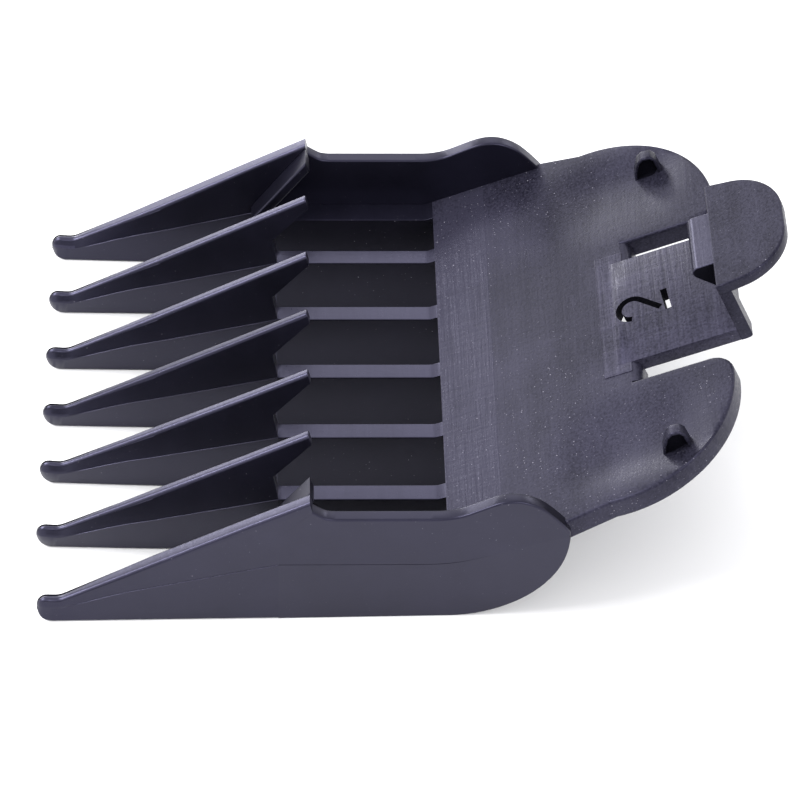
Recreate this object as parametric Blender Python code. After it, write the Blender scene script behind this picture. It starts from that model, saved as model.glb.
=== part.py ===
"""Guide comb for a hair clipper, built member by member.

The comb lies on its scalp side. Metres, +Z up, teeth towards -X, latch towards +X, left and right
sides at +Y and -Y. All dimensions below are in millimetres. Two sets of coordinates are used:
comb coordinates (x, y, z), and plate coordinates (a, y, b), where a runs up the sloping rear plate
from its bend and b stands square to the plate's top face.
"""

import math

import bmesh
import bpy
from mathutils import Vector

MM = 0.001
GAP = 0.3

# Teeth and the webs behind them
TOOTH_PITCH = 7.8
INNER_TEETH = 5
TIP_X = -37.9
NOSE_R = 1.5
KNOB_R = 0.95
KNOB_END_X = -35.0
KNOB_END_Z = 2.68
PEAK_X = -12.75
PEAK_Z = 15.0
SHOULDER_X = -12.5
SHOULDER_Z = 13.9
NOTCH_X = -15.93
NOTCH_Z = 9.9
NOTCH_FOOT_X = -15.5
CREASE_TIP_Z = 1.6
WEB_Z = 7.1
HALF_BOTTOM = 0.65
HALF_CREASE = 0.9
HALF_RIDGE = 0.5
WEB_HALF = 0.88
TIP_WIDTH_SHARE = 0.6
TAPER_LENGTH = 10.0
TIP_DRIFT = {1: -0.6, 2: -0.2, 3: -0.2, 4: 0.0, 5: 0.4, 6: 0.1, 7: -0.3}
DRIFT_LENGTH = 22.0
TOOTH_STATIONS = (-37.85, -37.6, -37.2, -36.95, -36.4, -35.0, -31.0, -27.5, -23.0, -19.0)

# Outer teeth, side walls, rails and slanted webs
OUTER_CREASE_Y = 24.5
OUTER_BOTTOM_Y = 24.35
OUTER_RIDGE_Y = 24.3
OUTER_INNER_Y = 22.55
OUTER_INNER_RIDGE_Y = 22.65
OUTER_TIP_THINNING = 0.6
WALL_INNER_Y = 23.1
WALL_OUTER_Y = 24.45
WALL_Z = 12.9
HUMP_FOOT_X = 0.6
HUMP_FRONT_X = 4.6
HUMP_BACK_X = 6.6
HUMP_Z = 15.15
WALL_END_X = 10.25
WALL_END_Z = 11.85
RAMP_FOOT_X = -10.9
RAIL_INNER_Y = 20.8
RAIL_OUTER_Y = 22.8
FLANGE_INNER_Y = 20.6
FLANGE_OUTER_Y = 22.25
FLANGE_TOP_X = -12.85
FLANGE_TOP_Z = 14.6
FLANGE_FOOT_X = -17.9
FLANGE_FOOT_Z = 7.45
FLANGE_WIDTH_X = 0.8

# Rounded rear of walls and webs
HEEL_X = 0.2
HEEL_R = 10.5
ARC_STEPS = 12

# Sloping rear plate
BEND_X = -0.8
SLOPE = math.radians(24.0)
PLATE_T = 2.2
PLATE_FRONT_A = 0.9
PLATE_HALF_Y = 22.8
PLATE_REAR_A = 12.15
TANG_HALF_Y = 8.8
SLOT_ROOT_A = 19.6

# Rear lobes
LOBE_INNER_Y = 9.1
LOBE_START_Y = 24.0
LOBE_BEND_A = 17.3
LOBE_CENTRE_Y = 11.3
LOBE_R = 11.8
LOBE_CORNER_R = 2.2
BEVEL = 0.2

# Latch
HINGE_A = 19.75
HINGE_B = -0.6
TONGUE_ROOT_A = 17.9
TONGUE_HALF_Y = 6.7
TONGUE_TOP_B = -0.05
TONGUE_T = 1.4
RISER_FRONT_A = 29.87
RISER_T = 1.15
RISER_TOP_B = 4.4
POST_INNER_Y = 5.15
BEAM_BOTTOM_B = 2.45
TAB_HALF_Y = 6.6
TAB_SIDE_Y = 6.4
TAB_BOTTOM_B = 4.7
TAB_T = 1.25
TAB_CORNER_R = 5.2
TAB_END_A = 36.8
BARB_RIGHT_Y = -3.55
BARB_LEFT_Y = 3.1
BARB_TOP_B = 5.9
BARB_NOSE_A = 27.7
BARB_NOSE_R = 0.7
BARB_FOOT_B = 2.5

# Locating nubs
NUB_INNER_Y = 17.6
NUB_OUTER_Y = 18.8
NUB_FRONT_A = 21.45
NUB_BACK_A = 24.25
NUB_TOP_B = 1.8

# Size numeral, cut right through
BOWL_A = 20.1
BOWL_Y = -0.05
BOWL_R = 1.28
BOWL_START = 238.0
BOWL_END = 48.0
DIAGONAL_END = (22.9, -0.85)
FOOT_STROKE = ((23.3, 1.3), (23.65, -1.35))
STROKE = 0.6

COMB_COLOUR = (0.035, 0.033, 0.045, 1.0)
LATCH_COLOUR = (0.04, 0.038, 0.05, 1.0)


def plate_to_comb(a, b):
    x = BEND_X + a * math.cos(SLOPE) - b * math.sin(SLOPE)
    z = WEB_Z + a * math.sin(SLOPE) + b * math.cos(SLOPE)
    return x, z


# The origin lies under the middle of the whole comb's length.
REAR_X = plate_to_comb(TAB_END_A, TAB_BOTTOM_B)[0]
SHIFT_X = -(TIP_X + REAR_X) / 2


def point(x, y, z):
    return Vector(((x + SHIFT_X) * MM, y * MM, z * MM))


def plate_point(a, y, b):
    x, z = plate_to_comb(a, b)
    return point(x, y, z)


def arc(centre, radius, start, end, steps):
    angles = [math.radians(start + (end - start) * i / steps) for i in range(steps + 1)]
    return [(centre[0] + radius * math.cos(t), centre[1] + radius * math.sin(t)) for t in angles]


def clear_scene():
    for old in list(bpy.data.objects):
        bpy.data.objects.remove(old, do_unlink=True)


def make_material(name, colour):
    material = bpy.data.materials.new(name)
    material.use_nodes = True
    shader = material.node_tree.nodes["Principled BSDF"]
    shader.inputs["Base Color"].default_value = colour
    shader.inputs["Roughness"].default_value = 0.45
    return material


def cap_ring(work, ring, strips):
    """Closes a ring, in strips between its two sides where it isn't flat."""
    if not strips:
        work.faces.new(ring)
        return
    last = len(ring) - 1
    for i in range(len(ring) // 2 - 1):
        work.faces.new((ring[i], ring[i + 1], ring[last - i - 1], ring[last - i]))


def make_object(name, rings, colour=COMB_COLOUR, bevel=0.0, strips=False):
    """A closed solid through rings of points that match one to one."""
    mesh = bpy.data.meshes.new(name)
    work = bmesh.new()
    loops = [[work.verts.new(co) for co in ring] for ring in rings]
    count = len(loops[0])
    for near, far in zip(loops, loops[1:]):
        for i in range(count):
            j = (i + 1) % count
            work.faces.new((near[i], near[j], far[j], far[i]))
    cap_ring(work, loops[0], strips)
    cap_ring(work, loops[-1], strips)
    bmesh.ops.recalc_face_normals(work, faces=work.faces)
    work.to_mesh(mesh)
    work.free()
    made = bpy.data.objects.new(name, mesh)
    bpy.context.scene.collection.objects.link(made)
    mesh.materials.append(make_material(name, colour))
    if bevel:
        modifier = made.modifiers.new("edge_radius", "BEVEL")
        modifier.width = bevel * MM
        modifier.segments = 1
        modifier.limit_method = "ANGLE"
        modifier.angle_limit = math.radians(40)
    return made


def side_prism(name, outline, y_from, y_to, bevel=0.0):
    """An (x, z) outline with thickness across the comb."""
    rings = [[point(x, y, z) for x, z in outline] for y in (y_from, y_to)]
    return make_object(name, rings, COMB_COLOUR, bevel)


def plate_slab(name, outline, b_from, b_to, colour=COMB_COLOUR, bevel=0.0):
    """An (a, y) outline with thickness square to the plate."""
    rings = [[plate_point(a, y, b) for a, y in outline] for b in (b_from, b_to)]
    return make_object(name, rings, colour, bevel)


def plate_rib(name, outline, y_from, y_to, colour=COMB_COLOUR, bevel=0.0):
    """An (a, b) outline with thickness across the comb."""
    rings = [[plate_point(a, y, b) for a, b in outline] for y in (y_from, y_to)]
    return make_object(name, rings, colour, bevel)


def bottom_z(x):
    reach = TIP_X + NOSE_R - x
    if reach <= 0:
        return 0.0
    return NOSE_R - math.sqrt(max(NOSE_R**2 - reach**2, 0.0))


def crease_z(x):
    return CREASE_TIP_Z + (WEB_Z - CREASE_TIP_Z) * (x - TIP_X) / (NOTCH_FOOT_X - TIP_X)


def ridge_z(x):
    knob_x = TIP_X + KNOB_R
    if x < knob_x:
        return NOSE_R + math.sqrt(max(KNOB_R**2 - (knob_x - x) ** 2, 0.0))
    if x < KNOB_END_X:
        share = (x - knob_x) / (KNOB_END_X - knob_x)
        return NOSE_R + KNOB_R + share * (KNOB_END_Z - NOSE_R - KNOB_R)
    share = (x - KNOB_END_X) / (PEAK_X - KNOB_END_X)
    return KNOB_END_Z + share * (PEAK_Z - KNOB_END_Z)


def tooth_section(x):
    """Heights at one station: bottom, crease, two levels in between, and ridge."""
    crease = crease_z(x)
    ridge = ridge_z(x)
    levels = [bottom_z(x), crease]
    for height in (NOTCH_Z, SHOULDER_Z):
        share = (height - WEB_Z) / (PEAK_Z - WEB_Z)
        levels.append(crease + share * (ridge - crease))
    levels.append(ridge)
    return [(x, z) for z in levels]


def tooth_back():
    """The end of the blade: square up to the web, then the notch and the overhanging peak."""
    return [
        (NOTCH_FOOT_X, 0.0),
        (NOTCH_FOOT_X, WEB_Z),
        (NOTCH_X, NOTCH_Z),
        (SHOULDER_X, SHOULDER_Z),
        (PEAK_X, PEAK_Z),
    ]


def tip_share(x, length):
    """1 at the tip, falling to 0 over the given length."""
    return max(0.0, 1.0 - (x - TIP_X) / length)


def make_tooth(name, number, sides_at):
    """Lofts a blade; sides_at(x) gives both sides' y at the bottom, the crease and the ridge."""
    sections = [tooth_section(x) for x in TOOTH_STATIONS] + [tooth_back()]
    shares = [(height - WEB_Z) / (PEAK_Z - WEB_Z) for height in (NOTCH_Z, SHOULDER_Z)]
    rings = []
    for section in sections:
        x = section[0][0]
        drift = TIP_DRIFT[number] * tip_share(x, DRIFT_LENGTH)
        ring = []
        for side, order in zip(sides_at(x), ((0, 1, 2, 3, 4), (4, 3, 2, 1, 0))):
            between = [side[1] + share * (side[2] - side[1]) for share in shares]
            offsets = [side[0], side[1], between[0], between[1], side[2]]
            ring += [point(section[i][0], offsets[i] + drift, section[i][1]) for i in order]
        rings.append(ring)
    return make_object(name, rings, strips=True)


def make_inner_tooth(number):
    middle = (4 - number) * TOOTH_PITCH

    def sides_at(x):
        width = 1.0 - (1.0 - TIP_WIDTH_SHARE) * tip_share(x, TAPER_LENGTH)
        halves = [width * half for half in (HALF_BOTTOM, HALF_CREASE, HALF_RIDGE)]
        return [middle - half for half in halves], [middle + half for half in halves]

    return make_tooth(f"tooth_{number}", number, sides_at)


def make_outer_tooth(name, number, side):
    def sides_at(x):
        thinning = OUTER_TIP_THINNING * tip_share(x, TAPER_LENGTH)
        inner = [y + thinning for y in (OUTER_INNER_Y, OUTER_INNER_Y, OUTER_INNER_RIDGE_Y)]
        outer = (OUTER_BOTTOM_Y, OUTER_CREASE_Y, OUTER_RIDGE_Y)
        return [side * y for y in inner], [side * y for y in outer]

    return make_tooth(name, number, sides_at)


def web_outline():
    """A web behind a tooth: flat over the open bay, then under the plate to the rounded heel."""
    under_b = -PLATE_T - GAP
    under_x, under_z = plate_to_comb(0.0, under_b)
    to_heel = Vector((under_x - HEEL_X, under_z - HEEL_R))
    along = Vector((math.cos(SLOPE), math.sin(SLOPE)))
    half_b = to_heel.dot(along)
    reach = -half_b + math.sqrt(half_b**2 - to_heel.length_squared + HEEL_R**2)
    end_x, end_z = plate_to_comb(reach, under_b)
    end_angle = math.degrees(math.atan2(end_z - HEEL_R, end_x - HEEL_X))
    front_a = PLATE_FRONT_A - GAP
    outline = [(NOTCH_FOOT_X + GAP, 0.0)]
    outline += arc((HEEL_X, HEEL_R), HEEL_R, -90, end_angle, ARC_STEPS)
    outline += [plate_to_comb(front_a, under_b), plate_to_comb(front_a, 0.0)]
    outline += [(BEND_X, WEB_Z), (NOTCH_FOOT_X + GAP, WEB_Z)]
    return outline


def make_webs():
    for number in range(2, INNER_TEETH + 2):
        y = (4 - number) * TOOTH_PITCH
        side_prism(f"web_{number}", web_outline(), y - WEB_HALF, y + WEB_HALF, BEVEL / 2)


def wall_outline():
    """The side wall from the outer tooth's slanted back edge to the rounded heel."""
    lean = Vector((SHOULDER_X - NOTCH_X, SHOULDER_Z - NOTCH_Z)).normalized()
    off_x = lean.y * GAP
    off_z = -lean.x * GAP
    front = NOTCH_FOOT_X + GAP
    outline = [(front, 0.0)]
    outline += arc((HEEL_X, HEEL_R), HEEL_R, -90, 0, ARC_STEPS)
    outline += [(WALL_END_X, WALL_END_Z)]
    outline += [(HUMP_BACK_X + 0.9, HUMP_Z - 0.75), (HUMP_BACK_X, HUMP_Z - 0.1)]
    outline += [(HUMP_FRONT_X + 0.8, HUMP_Z), (HUMP_FRONT_X - 0.3, HUMP_Z - 0.35)]
    outline += [(HUMP_FOOT_X + 0.8, WALL_Z + 0.4), (HUMP_FOOT_X - 0.6, WALL_Z - 0.05)]
    outline += [(RAMP_FOOT_X, WALL_Z), (RAMP_FOOT_X - 0.7, WALL_Z + 0.35)]
    outline += [(SHOULDER_X + off_x, SHOULDER_Z + off_z), (NOTCH_X + off_x, NOTCH_Z + off_z)]
    outline += [(front, WEB_Z)]
    return outline


def make_sides():
    flange = [
        (FLANGE_TOP_X, FLANGE_TOP_Z),
        (FLANGE_FOOT_X, FLANGE_FOOT_Z),
        (FLANGE_FOOT_X + FLANGE_WIDTH_X, FLANGE_FOOT_Z),
        (FLANGE_TOP_X + 0.3, FLANGE_TOP_Z - 0.75),
    ]
    for word, side in (("left", 1), ("right", -1)):
        make_outer_tooth(f"outer_tooth_{word}", 4 - 3 * side, side)
        side_prism(f"side_wall_{word}", wall_outline(), side * WALL_INNER_Y, side * WALL_OUTER_Y, BEVEL)
        side_prism(f"rail_{word}", web_outline(), side * RAIL_INNER_Y, side * RAIL_OUTER_Y, BEVEL / 2)
        side_prism(f"slant_web_{word}", flange, side * FLANGE_INNER_Y, side * FLANGE_OUTER_Y)


def add_cut(target, cutter, name):
    modifier = target.modifiers.new(name, "BOOLEAN")
    modifier.operation = "DIFFERENCE"
    modifier.solver = "EXACT"
    modifier.object = cutter


def make_cutter(name, outline, b_from, b_to):
    cutter = plate_slab(name, outline, b_from, b_to)
    cutter.hide_render = True
    cutter.display_type = "WIRE"
    return cutter


def stroke_outline(spine):
    """A line of points widened to the numeral's stroke."""
    left = []
    right = []
    for i, here in enumerate(spine):
        before = Vector(spine[max(i - 1, 0)])
        after = Vector(spine[min(i + 1, len(spine) - 1)])
        along = (after - before).normalized()
        across = Vector((-along.y, along.x)) * STROKE / 2
        left.append((here[0] + across.x, here[1] + across.y))
        right.append((here[0] - across.x, here[1] - across.y))
    return left + right[::-1]


def make_numeral_cutters():
    """A 2 with its top towards the teeth; a thin bridge keeps the foot stroke apart."""
    upper = arc((BOWL_A, BOWL_Y), BOWL_R, BOWL_START, BOWL_END, 8) + [DIAGONAL_END]
    strokes = {"numeral_cutter": upper, "numeral_foot_cutter": FOOT_STROKE}
    low = TONGUE_TOP_B - TONGUE_T - 1.0
    high = TONGUE_TOP_B + 1.0
    return [make_cutter(name, stroke_outline(spine), low, high) for name, spine in strokes.items()]


def make_plate():
    notch_y = TONGUE_HALF_Y + GAP
    notch_a = TONGUE_ROOT_A - GAP
    half = [
        (PLATE_FRONT_A, PLATE_HALF_Y),
        (PLATE_REAR_A, PLATE_HALF_Y),
        (PLATE_REAR_A, TANG_HALF_Y),
        (SLOT_ROOT_A, TANG_HALF_Y),
        (SLOT_ROOT_A, notch_y),
        (notch_a, notch_y),
    ]
    outline = half + [(a, -y) for a, y in reversed(half)]
    plate_slab("base_plate", outline, -PLATE_T, 0.0)


def lobe_outline(side):
    start_a = PLATE_REAR_A + GAP
    corner_a = LOBE_BEND_A + LOBE_R - LOBE_CORNER_R
    outline = [(start_a, LOBE_INNER_Y), (start_a, LOBE_START_Y)]
    outline += arc((LOBE_BEND_A, LOBE_CENTRE_Y), LOBE_R, 90, 0, ARC_STEPS)
    outline += arc((corner_a, LOBE_INNER_Y + LOBE_CORNER_R), LOBE_CORNER_R, 0, -90, 5)[1:]
    return [(a, side * y) for a, y in outline]


def make_lobes():
    nub = [
        (NUB_FRONT_A, GAP),
        (NUB_BACK_A, GAP),
        (NUB_BACK_A, NUB_TOP_B - 0.6),
        (NUB_BACK_A - 0.3, NUB_TOP_B),
        (NUB_FRONT_A + 1.5, NUB_TOP_B),
        (NUB_FRONT_A + 0.7, NUB_TOP_B - 0.5),
    ]
    for word, side in (("left", 1), ("right", -1)):
        plate_slab(f"lobe_{word}", lobe_outline(side), -PLATE_T, 0.0, COMB_COLOUR, BEVEL)
        plate_rib(f"nub_{word}", nub, side * NUB_INNER_Y, side * NUB_OUTER_Y)


def make_tongue():
    outline = [
        (TONGUE_ROOT_A, -TONGUE_HALF_Y),
        (RISER_FRONT_A - GAP, -TONGUE_HALF_Y),
        (RISER_FRONT_A - GAP, TONGUE_HALF_Y),
        (TONGUE_ROOT_A, TONGUE_HALF_Y),
    ]
    top = TONGUE_TOP_B
    tongue = plate_slab("latch_tongue", outline, top - TONGUE_T, top, LATCH_COLOUR)
    for cutter in make_numeral_cutters():
        add_cut(tongue, cutter, cutter.name)
    return tongue


def riser_outline(low):
    back = RISER_FRONT_A + RISER_T
    return [(RISER_FRONT_A, low), (back, low), (back, RISER_TOP_B), (RISER_FRONT_A, RISER_TOP_B)]


def make_post(side, word):
    """An upright at one corner of the tongue's end."""
    outline = riser_outline(TONGUE_TOP_B - TONGUE_T)
    ys = sorted((side * POST_INNER_Y, side * TONGUE_HALF_Y))
    return plate_rib(f"latch_post_{word}", outline, ys[0], ys[1], LATCH_COLOUR, BEVEL)


def make_beam():
    """The beam between the two posts, above a window. It carries the barb."""
    half_y = POST_INNER_Y - GAP
    return plate_rib("latch_beam", riser_outline(BEAM_BOTTOM_B), -half_y, half_y, LATCH_COLOUR)


def make_tab():
    corner_a = TAB_END_A - TAB_CORNER_R
    corner_y = TAB_SIDE_Y - TAB_CORNER_R
    half = [(RISER_FRONT_A, TAB_HALF_Y)]
    half += arc((corner_a, corner_y), TAB_CORNER_R, 90, 0, ARC_STEPS)
    outline = half + [(a, -y) for a, y in reversed(half)]
    top = TAB_BOTTOM_B + TAB_T
    return plate_slab("thumb_tab", outline, TAB_BOTTOM_B, top, LATCH_COLOUR, BEVEL)


def make_barb():
    """The hook that snaps over the clipper: flat on top, round nose, ramped underneath."""
    back = RISER_FRONT_A - GAP
    nose = (BARB_NOSE_A + BARB_NOSE_R, BARB_TOP_B - BARB_NOSE_R)
    outline = [(back, BARB_TOP_B)]
    outline += arc(nose, BARB_NOSE_R, 90, 215, 6)
    outline += [(back, BARB_FOOT_B)]
    return plate_rib("latch_barb", outline, BARB_RIGHT_Y, BARB_LEFT_Y, LATCH_COLOUR)


def main():
    clear_scene()
    for number in range(2, INNER_TEETH + 2):
        make_inner_tooth(number)
    make_webs()
    make_sides()
    make_plate()
    make_lobes()
    hinge = bpy.data.objects.new("latch_hinge", None)
    hinge.location = plate_point(HINGE_A, 0.0, HINGE_B)
    bpy.context.scene.collection.objects.link(hinge)
    bpy.context.view_layer.update()
    posts = [make_post(1, "left"), make_post(-1, "right")]
    for piece in [make_tongue(), make_beam(), make_barb(), make_tab()] + posts:
        piece.parent = hinge
        piece.matrix_parent_inverse = hinge.matrix_world.inverted()


main()
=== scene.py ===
"""Guide comb for a hair clipper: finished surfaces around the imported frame, with floor, light, camera.

Shapes are given in millimetres in the comb's own coordinates, as in the CAD: (x, y, z) with the teeth
towards -X, or (a, y, b) on the sloping plate, where a runs up the plate and b stands square to it.
"""

import math

import bmesh
import bpy
from mathutils import Matrix, Vector


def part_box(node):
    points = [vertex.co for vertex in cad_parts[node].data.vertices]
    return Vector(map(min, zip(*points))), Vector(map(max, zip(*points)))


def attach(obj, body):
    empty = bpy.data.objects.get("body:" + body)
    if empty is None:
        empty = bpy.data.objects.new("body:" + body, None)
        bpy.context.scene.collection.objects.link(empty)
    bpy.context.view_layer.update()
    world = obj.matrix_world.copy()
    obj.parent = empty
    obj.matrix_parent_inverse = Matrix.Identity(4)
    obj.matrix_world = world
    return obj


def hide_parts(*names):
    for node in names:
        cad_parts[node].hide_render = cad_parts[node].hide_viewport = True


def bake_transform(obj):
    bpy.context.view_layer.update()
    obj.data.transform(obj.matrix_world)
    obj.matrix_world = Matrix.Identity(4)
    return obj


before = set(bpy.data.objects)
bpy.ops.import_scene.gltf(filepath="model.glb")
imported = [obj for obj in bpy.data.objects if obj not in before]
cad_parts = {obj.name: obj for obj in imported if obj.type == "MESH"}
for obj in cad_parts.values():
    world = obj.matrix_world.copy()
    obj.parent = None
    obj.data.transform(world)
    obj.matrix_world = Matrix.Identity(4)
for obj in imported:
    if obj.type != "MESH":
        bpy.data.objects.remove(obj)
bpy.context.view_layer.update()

MM = 0.001
TIP_X = -37.9
# From the comb's own x to the frame's x
SHIFT_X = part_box("tooth_4")[0][0] / MM - TIP_X
COMB = "comb"
LATCH = "latch"
SIDES = (("left", 1), ("right", -1))

# Teeth, numbered 1 to 7 from the left: (x, z) points are on the side view of a tooth
MIDDLE_TOOTH = 4
INNER_TEETH = range(2, 7)
PITCH = 7.8
NOSE_R = 1.5
NOSE_PLAN_R = 0.75
NOSE_LEAST_SHARE = 0.3
KNOB_R = 0.95
KNOB_END = (-35.75, 2.3)
RIDGE_BLEND = 0.1
RIDGE_BLEND_END_X = -30.0
PEAK = (-12.75, 15.0)
SHOULDER = (-12.5, 13.9)
NOTCH = (-15.93, 9.9)
FOOT_X = -15.5
WEB_Z = 7.1
HALF_BOTTOM = 0.65
HALF_CREASE = 0.9
HALF_RIDGE = 0.5
TIP_SHORTER = {7: 0.4}
TIP_DRIFT = {1: -0.6, 2: -0.2, 3: -0.2, 4: 0.0, 5: 0.4, 6: 0.1, 7: -0.3}
DRIFT_LENGTH = 22.0
TAPER_LENGTH = 10.0
TIP_WIDTH_SHARE = 0.62
CREASE_TIP_Z = 1.6
CREASE_STEP = 0.05
CREASE_LOWER_SHARE = 0.35
CREASE_HALF = 0.06
CREASE_START = 1.2
CREASE_GROWTH = 4.0
TOOTH_ROUND = 0.16
TOP_ROUND = 1.9
STATIONS_X = (-36.0, -35.6, -35.2, -34.8, -34.4, -34.0, -33.0, -31.5, -29.5, -27.0, -24.0, -21.0, -18.0)
NOSE_STATIONS = 9
# (how far ahead of the rear face, how far inside the sides) for each ring that rounds the rear edges
REAR_ROUND = ((0.14, 0.0), (0.04, 0.03), (0.0, 0.12))
PEAK_DROP = 0.1
# The parts of one side of a tooth, from the bottom up
BOTTOM_RIM, CREASE, FACE, RIDGE_RIM = range(4)

# Sides: OUTER_Y and INNER_Y hold y at the bottom, the crease and the ridge
OUTER_Y = (24.35, 24.5, 24.3)
INNER_Y = (22.55, 22.55, 22.95)
OUTER_TIP_THINNING = 0.6
WALL_INNER_Y = 23.1
WALL_LEAN = 0.2
WALL_FOOT_IN = 0.15
WALL_FOOT_ROUND = 0.1
WALL_TOP_ROUND = 0.2
WALL_Z = 12.9
# The lean and the flare are for the outer face, so for points of a wall past this y
OUTER_FACE_Y = 24.0
HUMP = (
    (10.35, 11.75),
    (9.2, 13.1),
    (8.0, 14.25),
    (6.6, 14.98),
    (5.3, 15.15),
    (4.0, 14.85),
    (2.4, 14.05),
    (0.9, 13.3),
    (-0.6, 12.95),
    (-2.0, WALL_Z),
)
RAMP = ((-10.4, WALL_Z), (-11.2, 13.02), (-11.9, 13.45), SHOULDER)
FLARE = 0.38
FLARE_END_X = 5.0
FLARE_LENGTH = 18.0
PARTING_GAP = 0.015
PARTING_BEND_X = 0.4
PARTING_BEND_SOFT = 0.9
PARTING_GRADE = 0.37
PARTING_END_X = 8.9
PARTING_HEEL_X = 10.2
FADE_LENGTH = 3.5
RAIL_INNER_Y = 20.8
RAIL_LAP = 0.1
RAIL_FRONT_X = -17.5
WEB_ROUND = 0.12
FRONT_LIFT = 0.05
SLANT_WEB = (
    (-12.72, 14.8),
    (-17.7, 7.75),
    (-18.0, 7.2),
    (-17.6, 6.9),
    (-16.9, 7.05),
    (-16.6, 7.5),
    (-12.35, 13.6),
)
SLANT_WEB_Y = (20.6, 22.95)
SLANT_WEB_ROUND = 0.26

# Plate and lobes: (a, y) points are on the plate, (a, b) points on a section along it
HEEL = (0.2, 10.5)
HEEL_R = 10.5
BEND_X = -0.8
SLOPE = math.radians(24.0)
PLATE_T = 2.2
PLATE_LAP = 0.3
PLATE_FRONT_A = 0.75
PLATE_HALF_Y = 23.2
WITNESS_A = 6.1
LOBE_A = 11.2
LOBE_HALF_Y = 24.0
LOBE_CENTRE = (17.3, 11.3)
LOBE_R = 11.8
LOBE_CORNER = (26.9, 11.3)
LOBE_CORNER_R = 2.2
LOBE_INNER_Y = 9.1
PLATE_ROUND = 0.28
DISH_DEPTH = 0.6
DISH_FRONT_A = (10.5, 18.0)
DISH_REAR_A = (27.2, 22.5)
DISH_OUTER_Y = (22.0, 17.6)
DISH_INNER_Y = (9.2, 17.6)
DISH_STEP = 0.8
NUB = ((21.45, -0.8), (24.3, -0.8), (24.25, 1.15), (23.9, 1.72), (23.05, 1.8), (22.45, 1.45), (21.75, 0.2))
NUB_Y = (17.6, 18.8)
# (inset of the outline, depth from the end) for each ring, from the pocket's floor to the rounded rim
NUB_POCKET = ((0.34, 0.5), (0.28, 0.06), (0.24, 0.0), (0.12, 0.0), (0.03, 0.08), (0.0, 0.2))
# How many bands at each end, into the pocket, are painted dark as shade
NUB_SHADE_BANDS = 2
ROOT_A = 17.6
SLOT_END_A = 19.45
SLOT_END_R = 0.95
PAD_A = 16.85
PAD_HALF_Y = 7.85
PAD_B = 0.07
PAD_LOW_B = -0.6
PAD_LAP = 0.12
PAD_ROUND = 0.05

# Latch
TONGUE_HALF_Y = 6.7
TONGUE_T = 1.5
TONGUE_LOW_B = PAD_B - TONGUE_T
TONGUE_STEP = 0.6
TONGUE_SIDE_A = 19.6
TONGUE_CUTS_A = 18.2
BEND_START_A = 19.2
BEND_END_A = 22.4
BEND_B = -0.6
RISER_A = 29.82
RISER_BACK_A = 31.0
RISER_FOOT_R = 0.35
RISER_B = 4.9
POST_INNER_Y = 5.15
BEAM_A = 29.87
BEAM_LOW_B = 2.35
BEAM_LAP = 0.2
TAB_B = (4.7, 5.95)
TAB_CORNER = (30.6, 6.68)
TAB_CENTRE = (31.6, 1.2)
TAB_R = 5.3
TAB_ROUND = 0.2
BARB_Y = (-3.55, 3.1)
BARB_TOP = (30.2, 5.93)
BARB_NOSE = (28.4, 5.2)
BARB_NOSE_R = 0.72
BARB_FOOT = ((29.7, 2.4), (30.2, 2.1))
BARB_ROUND = 0.1
LATCH_ROUND = 0.06
# The numeral: an arc in degrees with a straight diagonal, and a stroke along its foot
BOWL = (20.1, -0.05)
BOWL_R = 1.28
BOWL_TURN = (268, 48)
DIAGONAL_END = (22.9, -0.85)
FOOT_STROKE = ((23.3, 1.3), (23.65, -1.35))
STROKE = 0.6
STROKE_CUT_B = (-3.0, 1.0)


def plate_to_comb(a, b):
    """(x, z) of the point a up the plate and b above it."""
    x = BEND_X + a * math.cos(SLOPE) - b * math.sin(SLOPE)
    z = WEB_Z + a * math.sin(SLOPE) + b * math.cos(SLOPE)
    return x, z


def on_side(u, v, w):
    """(x, z) outline, w across the comb."""
    return u, w, v


def on_plate(u, v, w):
    """(a, y) outline, w square to the plate."""
    x, z = plate_to_comb(u, w)
    return x, v, z


def across_plate(u, v, w):
    """(a, b) outline, w across the comb."""
    x, z = plate_to_comb(u, v)
    return x, w, z


def arc(centre, radius, start, end, steps):
    """Points along an arc, with its angles in degrees."""
    angles = [math.radians(start + (end - start) * i / steps) for i in range(steps + 1)]
    return [(centre[0] + radius * math.cos(t), centre[1] + radius * math.sin(t)) for t in angles]


def mirrored(half):
    """A closed outline from its half on one side of the comb's centre line."""
    return half + [(a, -y) for a, y in reversed(half)]


def clamp(value):
    """The value, kept between 0 and 1."""
    return min(max(value, 0.0), 1.0)


def place(co):
    """A point of the comb in the frame, in metres."""
    return Vector(((co[0] + SHIFT_X) * MM, co[1] * MM, co[2] * MM))


# ---------------------------------------------------------------- materials


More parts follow.
